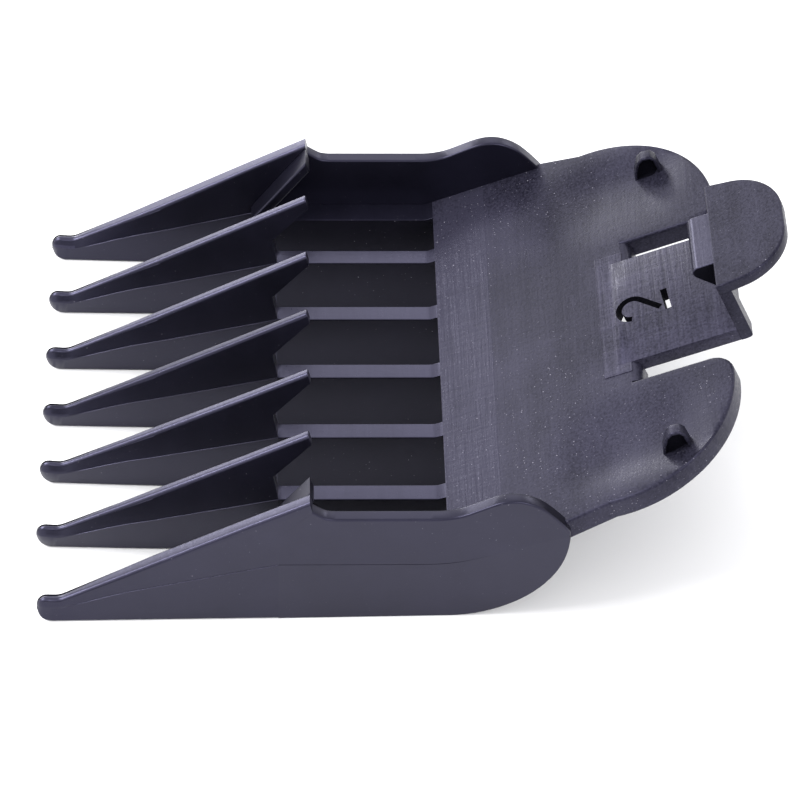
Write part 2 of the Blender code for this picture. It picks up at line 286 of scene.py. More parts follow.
class Graph:
    """Small helper for building a node tree."""

    def __init__(self, name):
        self.material = bpy.data.materials.new(name)
        self.material.use_nodes = True
        self.tree = self.material.node_tree
        self.shader = self.tree.nodes["Principled BSDF"]
        self.coords = self.tree.nodes.new("ShaderNodeTexCoord").outputs["Object"]

    def node(self, kind, inputs=None, **settings):
        made = self.tree.nodes.new(kind)
        for key, value in settings.items():
            setattr(made, key, value)
        for key, value in (inputs or {}).items():
            self.feed(value, made.inputs[key])
        return made

    def feed(self, value, socket):
        """Links an output to the socket, or sets its value."""
        if isinstance(value, bpy.types.NodeSocket):
            self.tree.links.new(value, socket)
        else:
            socket.default_value = value

    def stretched(self, scale):
        """Object coordinates in the plate's own directions, scaled along each."""
        turn = self.node("ShaderNodeMapping", {"Vector": self.coords, "Rotation": (0.0, SLOPE, 0.0)})
        return self.node("ShaderNodeMapping", {"Vector": turn.outputs[0], "Scale": scale}).outputs[0]

    def noise(self, vector, scale, detail=2.0, roughness=0.5):
        inputs = {"Vector": vector, "Scale": scale, "Detail": detail, "Roughness": roughness}
        return self.node("ShaderNodeTexNoise", inputs).outputs["Fac"]

    def ramp(self, value, low, high, to_low=0.0, to_high=1.0):
        inputs = {"Value": value, "From Min": low, "From Max": high, "To Min": to_low, "To Max": to_high}
        return self.node("ShaderNodeMapRange", inputs).outputs[0]

    def math(self, operation, first, second):
        return self.node("ShaderNodeMath", {0: first, 1: second}, operation=operation).outputs[0]

    def mix(self, factor, first, second):
        made = self.node("ShaderNodeMix", {"Factor": factor}, data_type="RGBA")
        self.feed(first, made.inputs[6])
        self.feed(second, made.inputs[7])
        return made.outputs[2]


FINE_GRAIN = 4200.0
BROAD_CLOUD = 90.0
STREAK_SCALE = 2600.0
CROSS_STREAK_SCALE = 2300.0
BROAD_STREAK_SCALE = 420.0
ACROSS_PLATE = (1.0, 0.04, 1.0)
ALONG_PLATE = (0.06, 1.0, 1.0)
BAND_EDGE = 0.05
DUST_SCALE = 3300.0
DUST_PATCHES = 60.0
DUST_COLOUR = (0.55, 0.53, 0.62, 1.0)
VIOLET_TINT = (0.66, 0.64, 1.0, 1.0)


def front_strip(graph):
    """1 ahead of the plate's witness line and 0 behind it."""
    run = (math.cos(SLOPE), 0.0, math.sin(SLOPE))
    along = graph.node("ShaderNodeVectorMath", {0: graph.coords, 1: run}, operation="DOT_PRODUCT")
    seam = ((BEND_X + SHIFT_X) * run[0] + WEB_Z * run[2] + WITNESS_A) * MM
    edge = BAND_EDGE * MM
    return graph.ramp(along.outputs["Value"], seam - edge, seam + edge, 1.0, 0.0)


def tool_streaks(graph, across, front, streaks, band):
    """Fine streaks both ways over the surface, stronger by band where front is 1."""
    streak = graph.noise(across, STREAK_SCALE, 3.0, 0.6)
    cross_streak = graph.noise(graph.stretched(ALONG_PLATE), CROSS_STREAK_SCALE, 2.0, 0.6)
    lines = graph.math("ADD", graph.ramp(streak, 0.35, 0.65), graph.ramp(cross_streak, 0.35, 0.65, 0.0, 0.6))
    return graph.math("MULTIPLY", lines, graph.ramp(front, 0.0, 1.0, streaks, streaks + band))


def dust_specks(graph, dust):
    """Small specks in a share of the cells, of mixed size and brightness, in loose patches."""
    cells = graph.node("ShaderNodeTexVoronoi", {"Vector": graph.coords, "Scale": DUST_SCALE})
    traits = graph.node("ShaderNodeSeparateColor", {"Color": cells.outputs["Color"]})
    chosen = graph.ramp(traits.outputs[0], 1.0 - dust, 1.0 - dust + 0.01)
    reach = graph.ramp(traits.outputs[1], 0.0, 1.0, 0.06, 0.2)
    near = graph.math("LESS_THAN", cells.outputs["Distance"], reach)
    patch = graph.ramp(graph.noise(graph.coords, DUST_PATCHES, 2.0), 0.42, 0.62, 0.2, 1.0)
    bright = graph.math("POWER", traits.outputs[2], 3.0)
    strength = graph.math("MULTIPLY", graph.ramp(bright, 0.0, 1.0, 0.05, 0.38), patch)
    return graph.math("MULTIPLY", graph.math("MULTIPLY", chosen, near), strength)


def moulded_plastic(name, dark, pale, grain_depth, streaks, roughness, dust, band=0.0, specular=0.5):
    """Near-black satin plastic with mould grain, tool streaks and dust.

    dark and pale are the ends of its mottling. band makes the plate's front strip paler and more streaked.
    """
    graph = Graph(name)
    shader = graph.shader
    cloud = graph.noise(graph.coords, BROAD_CLOUD, 3.0)
    grain = graph.noise(graph.coords, FINE_GRAIN, 2.0)
    across = graph.stretched(ACROSS_PLATE)
    broad = graph.noise(across, BROAD_STREAK_SCALE, 2.0)
    front = front_strip(graph)
    lines = tool_streaks(graph, across, front, streaks, band)
    speck = dust_specks(graph, dust)

    tone = graph.math("ADD", graph.ramp(cloud, 0.36, 0.64, 0.0, 0.6), graph.ramp(broad, 0.35, 0.7, 0.0, 0.25))
    tone = graph.math("ADD", tone, graph.math("MULTIPLY", lines, 0.5))
    tone = graph.math("ADD", tone, graph.math("MULTIPLY", front, band * 0.5))
    tone = graph.math("ADD", tone, graph.ramp(grain, 0.35, 0.65, -0.3 * grain_depth, 0.3 * grain_depth))
    base = graph.mix(tone, dark, pale)
    graph.feed(graph.mix(speck, base, DUST_COLOUR), shader.inputs["Base Color"])

    swing = 0.12 * grain_depth
    rough = graph.ramp(grain, 0.3, 0.7, roughness - swing, roughness + swing)
    rough = graph.math("ADD", rough, graph.math("MULTIPLY", lines, -0.1))
    rough = graph.math("ADD", rough, graph.math("MULTIPLY", speck, 0.3))
    graph.feed(rough, shader.inputs["Roughness"])
    graph.feed(specular, shader.inputs["Specular IOR Level"])
    graph.feed(VIOLET_TINT, shader.inputs["Specular Tint"])

    height = graph.math("ADD", graph.math("MULTIPLY", grain, grain_depth), lines)
    height = graph.math("ADD", height, graph.math("MULTIPLY", speck, 0.35))
    bump = graph.node("ShaderNodeBump", {"Height": height, "Strength": 0.4, "Distance": 0.00004})
    graph.feed(bump.outputs[0], shader.inputs["Normal"])
    return graph.material


COMB_PLASTIC = moulded_plastic(
    "satin_black_plastic",
    dark=(0.0025, 0.0024, 0.0045, 1.0),
    pale=(0.0070, 0.0066, 0.0125, 1.0),
    grain_depth=0.2,
    streaks=0.06,
    roughness=0.33,
    dust=0.16,
)
PLATE_PLASTIC = moulded_plastic(
    "plate_plastic",
    dark=(0.0045, 0.0043, 0.0080, 1.0),
    pale=(0.0240, 0.0228, 0.0370, 1.0),
    grain_depth=0.8,
    streaks=0.25,
    roughness=0.42,
    dust=1.0,
    band=0.5,
    specular=0.26,
)
PAD_PLASTIC = moulded_plastic(
    "tooled_pad_plastic",
    dark=(0.0035, 0.0034, 0.0063, 1.0),
    pale=(0.0360, 0.0340, 0.0540, 1.0),
    grain_depth=0.7,
    streaks=0.7,
    roughness=0.42,
    dust=0.3,
    specular=0.26,
)
# Painted shade: a darker, rougher copy of the plastic for the numeral's cut faces, the nubs' pockets and the
# barb's ends, in place of the shadow there
PAINTED_DARK_SHADE_PLASTIC = moulded_plastic(
    "painted_dark_shade_plastic",
    dark=(0.0010, 0.0010, 0.0016, 1.0),
    pale=(0.0030, 0.0028, 0.0048, 1.0),
    grain_depth=0.5,
    streaks=0.3,
    roughness=0.85,
    dust=0.0,
    specular=0.12,
)
# Painted shade: a darker copy of the comb plastic for the sides of the webs and rails, in place of the shade
# down in the bays
WEB_PAINTED_SHADE_PLASTIC = moulded_plastic(
    "web_painted_shade_plastic",
    dark=(0.0015, 0.0014, 0.0027, 1.0),
    pale=(0.0050, 0.0047, 0.0090, 1.0),
    grain_depth=0.2,
    streaks=0.06,
    roughness=0.36,
    dust=0.16,
    specular=0.3,
)
# Painted highlight: a paler copy of the comb plastic, with more specular, for the upward faces of teeth and
# webs and for the barb, in place of the light on them
PAINTED_HIGHLIGHT_PLASTIC = moulded_plastic(
    "painted_highlight_plastic",
    dark=(0.0060, 0.0057, 0.0100, 1.0),
    pale=(0.0160, 0.0150, 0.0260, 1.0),
    grain_depth=0.3,
    streaks=0.3,
    roughness=0.34,
    dust=0.16,
    specular=0.7,
)


# ---------------------------------------------------------------- mesh building


def signed_area(outline):
    """Positive if the outline runs anticlockwise."""
    total = 0.0
    for (x0, y0), (x1, y1) in zip(outline, outline[1:] + outline[:1]):
        total += x0 * y1 - x1 * y0
    return total / 2


def inset(outline, distances):
    """The outline moved inwards, each edge i (from point i to i + 1) by its own distance."""
    count = len(outline)
    turn = 1.0 if signed_area(outline) > 0 else -1.0
    points = [Vector(p) for p in outline]
    normals = []
    for i in range(count):
        along = (points[(i + 1) % count] - points[i]).normalized()
        normals.append(Vector((-along.y, along.x)) * turn)
    moved = []
    for i in range(count):
        before = normals[i - 1]
        after = normals[i]
        d0 = distances[i - 1]
        d1 = distances[i]
        cross = before.x * after.y - before.y * after.x
        if abs(cross) < 0.05:
            shift = (before * d0 + after * d1) / 2
        else:
            shift = Vector((d0 * after.y - d1 * before.y, d1 * before.x - d0 * after.x)) / cross
        moved.append((points[i].x + shift.x, points[i].y + shift.y))
    return moved


def add_loft(work, rings, strips=False):
    """Faces between the rings, and a cap on each end ring: one face, or strips of four-sided ones."""
    loops = [[work.verts.new(place(co)) for co in ring] for ring in rings]
    count = len(loops[0])
    made = []
    for near, far in zip(loops, loops[1:]):
        for i in range(count):
            j = (i + 1) % count
            made.append(work.faces.new((near[i], near[j], far[j], far[i])))
    for ring in (loops[0], loops[-1]):
        if strips:
            last = count - 1
            for i in range(count // 2 - 1):
                made.append(work.faces.new((ring[i], ring[i + 1], ring[last - i - 1], ring[last - i])))
        else:
            made.append(work.faces.new(ring))
    return made


ROUND_STEPS = 3


def add_prism(work, outline, low, high, to_comb, radius=0.0, sharp=()):
    """A prism with rounded rims. Edges listed in sharp keep their full size, to meet a neighbour."""
    edges = [0.0 if i in sharp else 1.0 for i in range(len(outline))]
    rim = [(0.0, 0.0)]
    if radius:
        turns = [math.pi / 2 * k / ROUND_STEPS for k in range(ROUND_STEPS + 1)]
        rim = [(radius * (1 - math.cos(t)), radius * (1 - math.sin(t))) for t in turns]
    levels = [(low + depth, side) for depth, side in rim]
    levels += [(high - depth, side) for depth, side in reversed(rim)]
    rings = []
    for level, side in levels:
        shape = inset(outline, [edge * side for edge in edges]) if radius else outline
        rings.append([to_comb(u, v, level) for u, v in shape])
    return add_loft(work, rings)


def mark_tops(work):
    """Gives the upward faces the piece's second material, the paler painted highlight on teeth and webs."""
    bmesh.ops.recalc_face_normals(work, faces=work.faces)
    work.normal_update()
    for face in work.faces:
        if face.normal.z > 0.5:
            face.material_index = 1


def new_object(name, work):
    """A linked object made from the work mesh, which is used up."""
    mesh = bpy.data.meshes.new(name)
    work.to_mesh(mesh)
    work.free()
    made = bpy.data.objects.new(name, mesh)
    bpy.context.scene.collection.objects.link(made)
    return made


def shade(piece, sharp):
    """Smooth shading, with edges kept hard where faces meet at more than sharp degrees."""
    piece.data.shade_smooth()
    piece.data.set_sharp_from_angle(angle=math.radians(sharp))


def new_piece(name, work, body, nodes, material=COMB_PLASTIC, second=None, sharp=38.0):
    """A finished piece that rides on a body and stands in for that body's plain nodes."""
    bmesh.ops.recalc_face_normals(work, faces=work.faces)
    piece = new_object(name, work)
    shade(piece, sharp)
    piece.data.materials.append(material)
    if second:
        piece.data.materials.append(second)
    modifier = piece.modifiers.new("face_weighted_shading", "WEIGHTED_NORMAL")
    modifier.keep_sharp = True
    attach(piece, body)
    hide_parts(*nodes)


# ---------------------------------------------------------------- teeth


def bottom_z(x):
    """Height of the underside, which rounds up at the tip."""
    reach = TIP_X + NOSE_R - x
    return 0.0 if reach <= 0 else NOSE_R - math.sqrt(max(NOSE_R**2 - reach**2, 0.0))


def ridge_z(x):
    """Height of the ridge: round over the tip's knob, then level, then a ramp up to the peak."""
    knob_x = TIP_X + KNOB_R
    if x < knob_x:
        return NOSE_R + math.sqrt(max(KNOB_R**2 - (knob_x - x) ** 2, 0.0))
    slope = (PEAK[1] - KNOB_END[1]) / (PEAK[0] - KNOB_END[0])
    ramp = KNOB_END[1] + (x - KNOB_END[0]) * slope
    if x >= RIDGE_BLEND_END_X:
        return ramp
    top = NOSE_R + KNOB_R
    level = top + (x - knob_x) / (KNOB_END[0] - knob_x) * (KNOB_END[1] - top)
    return math.log(math.exp(level / RIDGE_BLEND) + math.exp(ramp / RIDGE_BLEND)) * RIDGE_BLEND


def crease_z(x):
    """Height of the crease along the side, which meets the web's top at the foot."""
    return CREASE_TIP_Z + (WEB_Z - CREASE_TIP_Z) * (x - TIP_X) / (FOOT_X - TIP_X)


def back_x(z):
    """Where the tooth's notched rear edge lies at a height."""
    profile = ((0.0, FOOT_X), (WEB_Z, FOOT_X), NOTCH[::-1], SHOULDER[::-1], PEAK[::-1])
    for (z0, x0), (z1, x1) in zip(profile, profile[1:]):
        if z <= z1:
            return x0 + (x1 - x0) * (z - z0) / (z1 - z0)
    return PEAK[0]


def side_levels(x, at_back=False):
    """(part, share of the way through it, z) up one side of a tooth, and its crease, ridge and rounding."""
    bottom = bottom_z(x)
    ridge = PEAK[1] if at_back else ridge_z(x)
    crease = WEB_Z if at_back else crease_z(x)
    height = max(ridge - bottom, 0.0)
    crease = min(max(crease, bottom + 0.4 * height), ridge - 0.35 * height)
    small = min(TOOTH_ROUND, 0.2 * height)
    gap = min(CREASE_HALF, 0.1 * height)
    levels = [(BOTTOM_RIM, share, bottom + small * share) for share in (0.0, 0.3, 1.0)]
    levels += [(CREASE, -1, crease - gap * 0.4), (CREASE, 0, crease), (CREASE, 1, crease + gap)]
    for level in (NOTCH[1], SHOULDER[1]):
        share = (level - WEB_Z) / (PEAK[1] - WEB_Z)
        levels.append((FACE, share, crease + gap + share * (ridge - crease - gap)))
    levels += [(RIDGE_RIM, share, ridge - small * TOP_ROUND * share) for share in (1.0, 0.55, 0.2, 0.0)]
    return levels, crease, ridge, small


def side_y(levels, crease, ridge, small, side, middle, depth=CREASE_STEP):
    """y at each level. side holds y at the bottom, crease and ridge; middle is the tooth's centre line."""
    found = []
    sign = 1.0 if side[1] > middle else -1.0
    steps = {-1: 0.0, 0: depth, 1: depth * CREASE_LOWER_SHARE}
    for part, share, z in levels:
        if part == BOTTOM_RIM:
            y = side[0] - sign * small * (1.0 - share) ** 2
        elif part == CREASE:
            y = side[1] - sign * min(steps[share], abs(side[1] - middle) * 0.15)
        elif part == FACE:
            up = (z - crease) / max(ridge - crease, 1e-6)
            y = side[1] - sign * steps[1] + up * (side[2] - side[1])
        else:
            y = side[2] - sign * small * TOP_ROUND * (1.0 - share) ** 2
        found.append(y)
    return found


def tooth_stations():
    """Where along a tooth its rings stand, close together round the tip."""
    turns = [math.pi / 2 * i / NOSE_STATIONS for i in range(1, NOSE_STATIONS + 1)]
    return [TIP_X + NOSE_R * (1 - math.cos(turn)) for turn in turns] + list(STATIONS_X)


def tip_ring(x, number, sides_at, middle):
    """The ring at x, drifted and shortened towards the tip as this tooth is."""
    levels, crease, ridge, small = side_levels(x)
    forward = max(0.0, 1.0 - (x - TIP_X) / DRIFT_LENGTH)
    drift = TIP_DRIFT[number] * forward
    back = TIP_SHORTER.get(number, 0.0) * forward
    depth = CREASE_STEP * clamp((x - TIP_X - CREASE_START) / CREASE_GROWTH)
    halves = []
    for side in sides_at(x):
        ys = side_y(levels, crease, ridge, small, side, middle, depth)
        halves.append([(x + back, y + drift, level[2]) for y, level in zip(ys, levels)])
    return halves[0] + halves[1][::-1]


def rear_ring(ahead, inside, sides_at, middle):
    """A ring on the notched rear face, ahead of it and inside the sides to round its edges.

    The rounding is for the part above the web, since the web runs on from the part below.
    """
    levels, crease, ridge, small = side_levels(FOOT_X, at_back=True)
    halves = []
    for side in sides_at(FOOT_X):
        half = []
        for y, level in zip(side_y(levels, crease, ridge, small, side, middle), levels):
            z = level[2]
            above = z > WEB_Z + 0.2
            x = back_x(z) - (ahead if above else ahead * 0.2)
            inward = (middle - y) * (inside if above else 0.0) / abs(middle - y)
            drop = PEAK_DROP if inside > 0.1 and z > PEAK[1] - 0.4 else 0.0
            half.append((x, y + inward, z - drop))
        halves.append(half)
    return halves[0] + halves[1][::-1]


def add_tooth(work, number, sides_at, middle, rear_round=REAR_ROUND):
    rings = [tip_ring(x, number, sides_at, middle) for x in tooth_stations()]
    rings += [rear_ring(ahead, inside, sides_at, middle) for ahead, inside in rear_round]
    add_loft(work, rings, strips=True)


def nose_width(x):
    """Share of a tooth's width that is left where its tip rounds off in plan."""
    reach = TIP_X + NOSE_PLAN_R - x
    if reach <= 0:
        return 1.0
    return max(math.sqrt(max(1.0 - (reach / NOSE_PLAN_R) ** 2, 0.0)), NOSE_LEAST_SHARE)


def inner_sides(middle):
    """The sides of an inner tooth, as a function of x."""

    def sides_at(x):
        taper = max(0.0, 1.0 - (x - TIP_X) / TAPER_LENGTH)
        width = (1.0 - (1.0 - TIP_WIDTH_SHARE) * taper) * nose_width(x)
        halves = [width * half for half in (HALF_BOTTOM, HALF_CREASE, HALF_RIDGE)]
        return [middle - half for half in halves], [middle + half for half in halves]

    return sides_at


def outer_sides(side):
    """The sides of an outer tooth, as a function of x."""

    def sides_at(x):
        thinning = OUTER_TIP_THINNING * max(0.0, 1.0 - (x - TIP_X) / TAPER_LENGTH)
        inner = [y + thinning for y in INNER_Y]
        outer = [OUTER_Y[0] + FLARE, OUTER_Y[1], OUTER_Y[2]]
        centre = [(o + i) / 2 for o, i in zip(outer, inner)]
        width = nose_width(x)
        near = [c + (i - c) * width for c, i in zip(centre, inner)]
        far = [c + (o - c) * width for c, o in zip(centre, outer)]
        return [side * y for y in near], [side * y for y in far]

    return sides_at


def make_teeth():
    for number in INNER_TEETH:
        middle = (MIDDLE_TOOTH - number) * PITCH
        work = bmesh.new()
        add_tooth(work, number, inner_sides(middle), middle)
        # The upward faces get the paler plastic of painted highlight
        mark_tops(work)
        nodes = [f"tooth_{number}"]
        name = f"tooth_{number}_moulded"
        new_piece(name, work, COMB, nodes, second=PAINTED_HIGHLIGHT_PLASTIC, sharp=30)
    for word, side in SIDES:
        middle = side * (OUTER_Y[1] + INNER_Y[1]) / 2
        work = bmesh.new()
        # An outer tooth runs on into the side wall, so its rear edges are not rounded
        add_tooth(work, MIDDLE_TOOTH - 3 * side, outer_sides(side), middle, rear_round=((0.0, 0.0),))
        # The upward faces get the paler plastic of painted highlight
        mark_tops(work)
        nodes = [f"outer_tooth_{word}"]
        name = f"outer_tooth_{word}_moulded"
        new_piece(name, work, COMB, nodes, second=PAINTED_HIGHLIGHT_PLASTIC, sharp=30)


# ---------------------------------------------------------------- webs, rails, walls


def web_profile(front_x):
    """(x, bottom z, top z) stations along a web, from the tooth to the heel."""
    # A front end that lies inside a tooth stays clear of the tooth's underside
    lift = FRONT_LIFT if front_x < FOOT_X else 0.0
    stations = [(front_x, lift, WEB_Z), (-15.0, 0.0, WEB_Z), (-8.0, 0.0, WEB_Z), (BEND_X - 0.5, 0.0, WEB_Z)]
    front = plate_to_comb(PLATE_FRONT_A + 0.2, 0.0)
    stations += [(BEND_X, 0.0, WEB_Z + 0.02), (HEEL[0] - 0.3, 0.0, front[1] - 0.08)]
    for x, low in arc(HEEL, HEEL_R, -90, 0, 15)[1:-1]:
        under = WEB_Z + (x - BEND_X) * math.tan(SLOPE) - (PLATE_T - PLATE_LAP) / math.cos(SLOPE)
        stations.append((x, low, under))
    return [station for station in stations if station[2] - station[1] > 0.05]


def add_web(work, y_lows, y_highs, front_x=FOOT_X):
    """y_lows and y_highs give (y at the bottom, y at the top) of the web's two sides."""
    rings = []
    for x, low, high in web_profile(front_x):
        small = min(WEB_ROUND, 0.3 * (high - low))
        ring = []
        for (y_low, y_high), sign in ((y_lows, 1.0), (y_highs, -1.0)):
            part = [(x, y_low + sign * small, low), (x, y_low + sign * small * 0.3, low + small * 0.3)]
            part += [(x, y_low, low + small), (x, y_high, high - small)]
            part += [(x, y_high + sign * small * 0.3, high - small * 0.3), (x, y_high + sign * small, high)]
            ring += part if sign > 0 else part[::-1]
        rings.append(ring)
    add_loft(work, rings, strips=True)


def make_webs():
    for number in INNER_TEETH:
        y = (MIDDLE_TOOTH - number) * PITCH
        work = bmesh.new()
        add_web(work, (y - HALF_BOTTOM, y - HALF_CREASE), (y + HALF_BOTTOM, y + HALF_CREASE))
        mark_tops(work)
        nodes = [f"web_{number}"]
        # The web's sides get painted shade and its top the painted highlight
        new_piece(f"web_{number}_moulded", work, COMB, nodes, WEB_PAINTED_SHADE_PLASTIC, PAINTED_HIGHLIGHT_PLASTIC, 30)
    for word, side in SIDES:
        low, high = sorted((side * RAIL_INNER_Y, side * (WALL_INNER_Y + RAIL_LAP)))
        work = bmesh.new()
        add_web(work, (low, low), (high, high), RAIL_FRONT_X)
        mark_tops(work)
        nodes = [f"rail_{word}"]
        # The rail's sides get painted shade; its top keeps the comb plastic
        new_piece(f"rail_{word}_moulded", work, COMB, nodes, WEB_PAINTED_SHADE_PLASTIC, COMB_PLASTIC, 30)


def curve_value(a, b, c, d, t):
    """The Catmull-Rom curve's value at t of the way from b to c."""
    linear = c - a
    square = 2 * a - 5 * b + 4 * c - d
    cube = 3 * b - a - 3 * c + d
    return 0.5 * (2 * b + linear * t + square * t**2 + cube * t**3)


def smooth_line(points, steps):
    """A Catmull-Rom curve through the points."""
    line = []
    padded = [points[0], *points, points[-1]]
    for p0, p1, p2, p3 in zip(padded, padded[1:], padded[2:], padded[3:]):
        for i in range(steps):
            line.append(tuple(curve_value(*values, i / steps) for values in zip(p0, p1, p2, p3)))
    line.append(points[-1])
    return line


def parting_z(x):
    """Height of the line where the mould halves met: level over the bay, then up with the plate."""
    rise = PARTING_BEND_SOFT * math.log(1.0 + math.exp((x - PARTING_BEND_X) / PARTING_BEND_SOFT))
    return WEB_Z + PARTING_GRADE * rise


def parting_fade(x):
    """The line fades out on the way up to the heel."""
    return clamp((FADE_LENGTH - x) / FADE_LENGTH)


def wall_lean(z):
    """How far the wall's outer face leans in above the webs."""
    return WALL_LEAN * max(z - WEB_Z, 0.0) / (PEAK[1] - WEB_Z)


def flare(x):
    """How far the foot of a side stands out past its parting line."""
    return FLARE * clamp((FLARE_END_X - x) / FLARE_LENGTH)


def add_lower_wall(work, side, line, split):
    """The wall's lower half, from its foot up to the parting line. split is an angle on the heel."""
    heel = arc(HEEL, HEEL_R, -90, split, 22)
    outline = [(FOOT_X, 0.0)] + heel + [(x, z - PARTING_GAP * parting_fade(x)) for x, z in line[::-1]]

    def to_comb(x, z, y):
        out = 0.0
        if y > OUTER_FACE_Y:
            out = (flare(x) - WALL_FOOT_IN) * (1.0 - min(z / WEB_Z, 1.0)) - wall_lean(z)
        return x, side * (y + out), z

    last = len(outline) - 1
    sharp = [last] + list(range(len(heel), last))
    add_prism(work, outline, WALL_INNER_Y, OUTER_Y[1], to_comb, WALL_FOOT_ROUND, sharp)


def add_upper_wall(work, side, line, split):
    """The wall's upper half, from the parting line up to its top edge."""
    base = [(x, z + PARTING_GAP * parting_fade(x)) for x, z in line]
    outline = base + arc(HEEL, HEEL_R, split, 4, 3) + smooth_line(HUMP, 3) + smooth_line(RAMP, 3) + [NOTCH]

    def to_comb(x, z, y):
        inward = 0.0
        if y > OUTER_FACE_Y:
            inward = CREASE_STEP * CREASE_LOWER_SHARE * parting_fade(x) + wall_lean(z)
        return x, side * (y - inward), z

    last = len(outline) - 1
    sharp = [last, last - 1] + list(range(len(base)))
    add_prism(work, outline, WALL_INNER_Y, OUTER_Y[1], to_comb, WALL_TOP_ROUND, sharp)


def make_walls():
    steps = 30
    stations = [FOOT_X + (PARTING_END_X - FOOT_X) * i / steps for i in range(steps + 1)]
    line = [(x, parting_z(x)) for x in stations]
    split = math.degrees(math.asin((parting_z(PARTING_HEEL_X) - HEEL[1]) / HEEL_R))
    for word, side in SIDES:
        work = bmesh.new()
        add_lower_wall(work, side, line, split)
        add_upper_wall(work, side, line, split)
        nodes = [f"side_wall_{word}"]
        new_piece(f"side_wall_{word}_moulded", work, COMB, nodes, sharp=35)


def make_slant_webs():
    for word, side in SIDES:
        work = bmesh.new()
        low, high = sorted(side * y for y in SLANT_WEB_Y)
        add_prism(work, SLANT_WEB, low, high, on_side, SLANT_WEB_ROUND)
        new_piece(f"slant_web_{word}_moulded", work, COMB, [f"slant_web_{word}"], sharp=35)


# ---------------------------------------------------------------- plate and lobes


def ease(value, start, end):
    """Smooth step from 0 at start to 1 at end."""
    t = clamp((value - start) / (end - start))
    return t * t * (3.0 - 2.0 * t)


def dish(a, y):
    """How far the top of a lobe lies below the plate's plane."""
    side = abs(y)
    along = ease(a, *DISH_FRONT_A) * ease(a, *DISH_REAR_A)
    across = ease(side, *DISH_OUTER_Y) * ease(side, *DISH_INNER_Y)
    return DISH_DEPTH * along * across


def rear_outline():
    """The plate, its two lobes and the gap for the tongue, and which edges stay sharp."""
    half = [(PLATE_FRONT_A, PLATE_HALF_Y), (LOBE_A, PLATE_HALF_Y), (LOBE_A, LOBE_HALF_Y)]
    half += arc(LOBE_CENTRE, LOBE_R, 95, 0, 30)
    half += arc(LOBE_CORNER, LOBE_CORNER_R, 0, -90, 8)[1:]
    half += [(SLOT_END_A, LOBE_INNER_Y), (SLOT_END_A, TONGUE_HALF_Y), (ROOT_A, TONGUE_HALF_Y)]
    count = len(half)
    last = 2 * count - 1
    sharp = (0, 1, count - 3, count - 2, count - 1, count, count + 1, last - 2, last - 1, last)
    return mirrored(half), sharp


def cut_grid(work, along_a, along_y):
    """Cuts every face along lines of constant a and of constant y on the plate."""
    up_plate = Vector((math.cos(SLOPE), 0.0, math.sin(SLOPE)))
    planes = [(place(on_plate(a, 0.0, 0.0)), up_plate) for a in along_a]
    planes += [(place((0.0, y, 0.0)), Vector((0.0, 1.0, 0.0))) for y in along_y]
    for point, normal in planes:
        geometry = work.verts[:] + work.edges[:] + work.faces[:]
        bmesh.ops.bisect_plane(work, geom=geometry, plane_co=point, plane_no=normal, dist=1e-7)


def to_plate(co):
    """(a, b) in millimetres of a point in metres."""
    x = co.x / MM - SHIFT_X - BEND_X
    z = co.z / MM - WEB_Z
    return x * math.cos(SLOPE) + z * math.sin(SLOPE), z * math.cos(SLOPE) - x * math.sin(SLOPE)


def sink_lobes(work):
    """Lowers the plate's top face into a shallow dish on each lobe."""
    lines_y = [side * (DISH_INNER_Y[0] + DISH_STEP * i) for side in (1, -1) for i in range(17)]
    cut_grid(work, [DISH_FRONT_A[0] + DISH_STEP * i for i in range(22)], lines_y)
    down = Vector((math.sin(SLOPE), 0.0, -math.cos(SLOPE))) * MM
    for vert in work.verts:
        a, b = to_plate(vert.co)
        if b > -0.001:
            vert.co += down * dish(a, vert.co.y / MM)


def add_pad(work):
    """The tooled pad at the root of the tongue stands a little above the plate."""
    pad_end = SLOT_END_A + PAD_LAP
    half = [(PAD_A, PAD_HALF_Y), (pad_end, PAD_HALF_Y), (pad_end, TONGUE_HALF_Y), (ROOT_A, TONGUE_HALF_Y)]
    for face in add_prism(work, mirrored(half), PAD_LOW_B, PAD_B, on_plate, PAD_ROUND, (1, 2, 3, 4, 5)):
        face.material_index = 1


def add_slot_ends(work):
    """The rounded ends of the two slots beside the tongue."""
    section = [(SLOT_END_A, -PLATE_T), (SLOT_END_A, 0.0)]
    section += arc((SLOT_END_A, -SLOT_END_R), SLOT_END_R, 90, 0, 8)[1:]
    section += [(SLOT_END_A + SLOT_END_R, -PLATE_T)]
    for side in (1, -1):
        low, high = sorted((side * TONGUE_HALF_Y, side * LOBE_INNER_Y))
        add_prism(work, section, low, high, across_plate)


def make_plate():
    outline, sharp = rear_outline()
    work = bmesh.new()
    add_prism(work, outline, -PLATE_T, 0.0, on_plate, PLATE_ROUND, sharp)
    sink_lobes(work)
    add_pad(work)
    add_slot_ends(work)
    nodes = ["base_plate", "lobe_left", "lobe_right"]
    new_piece("rear_plate_moulded", work, COMB, nodes, PLATE_PLASTIC, PAD_PLASTIC)


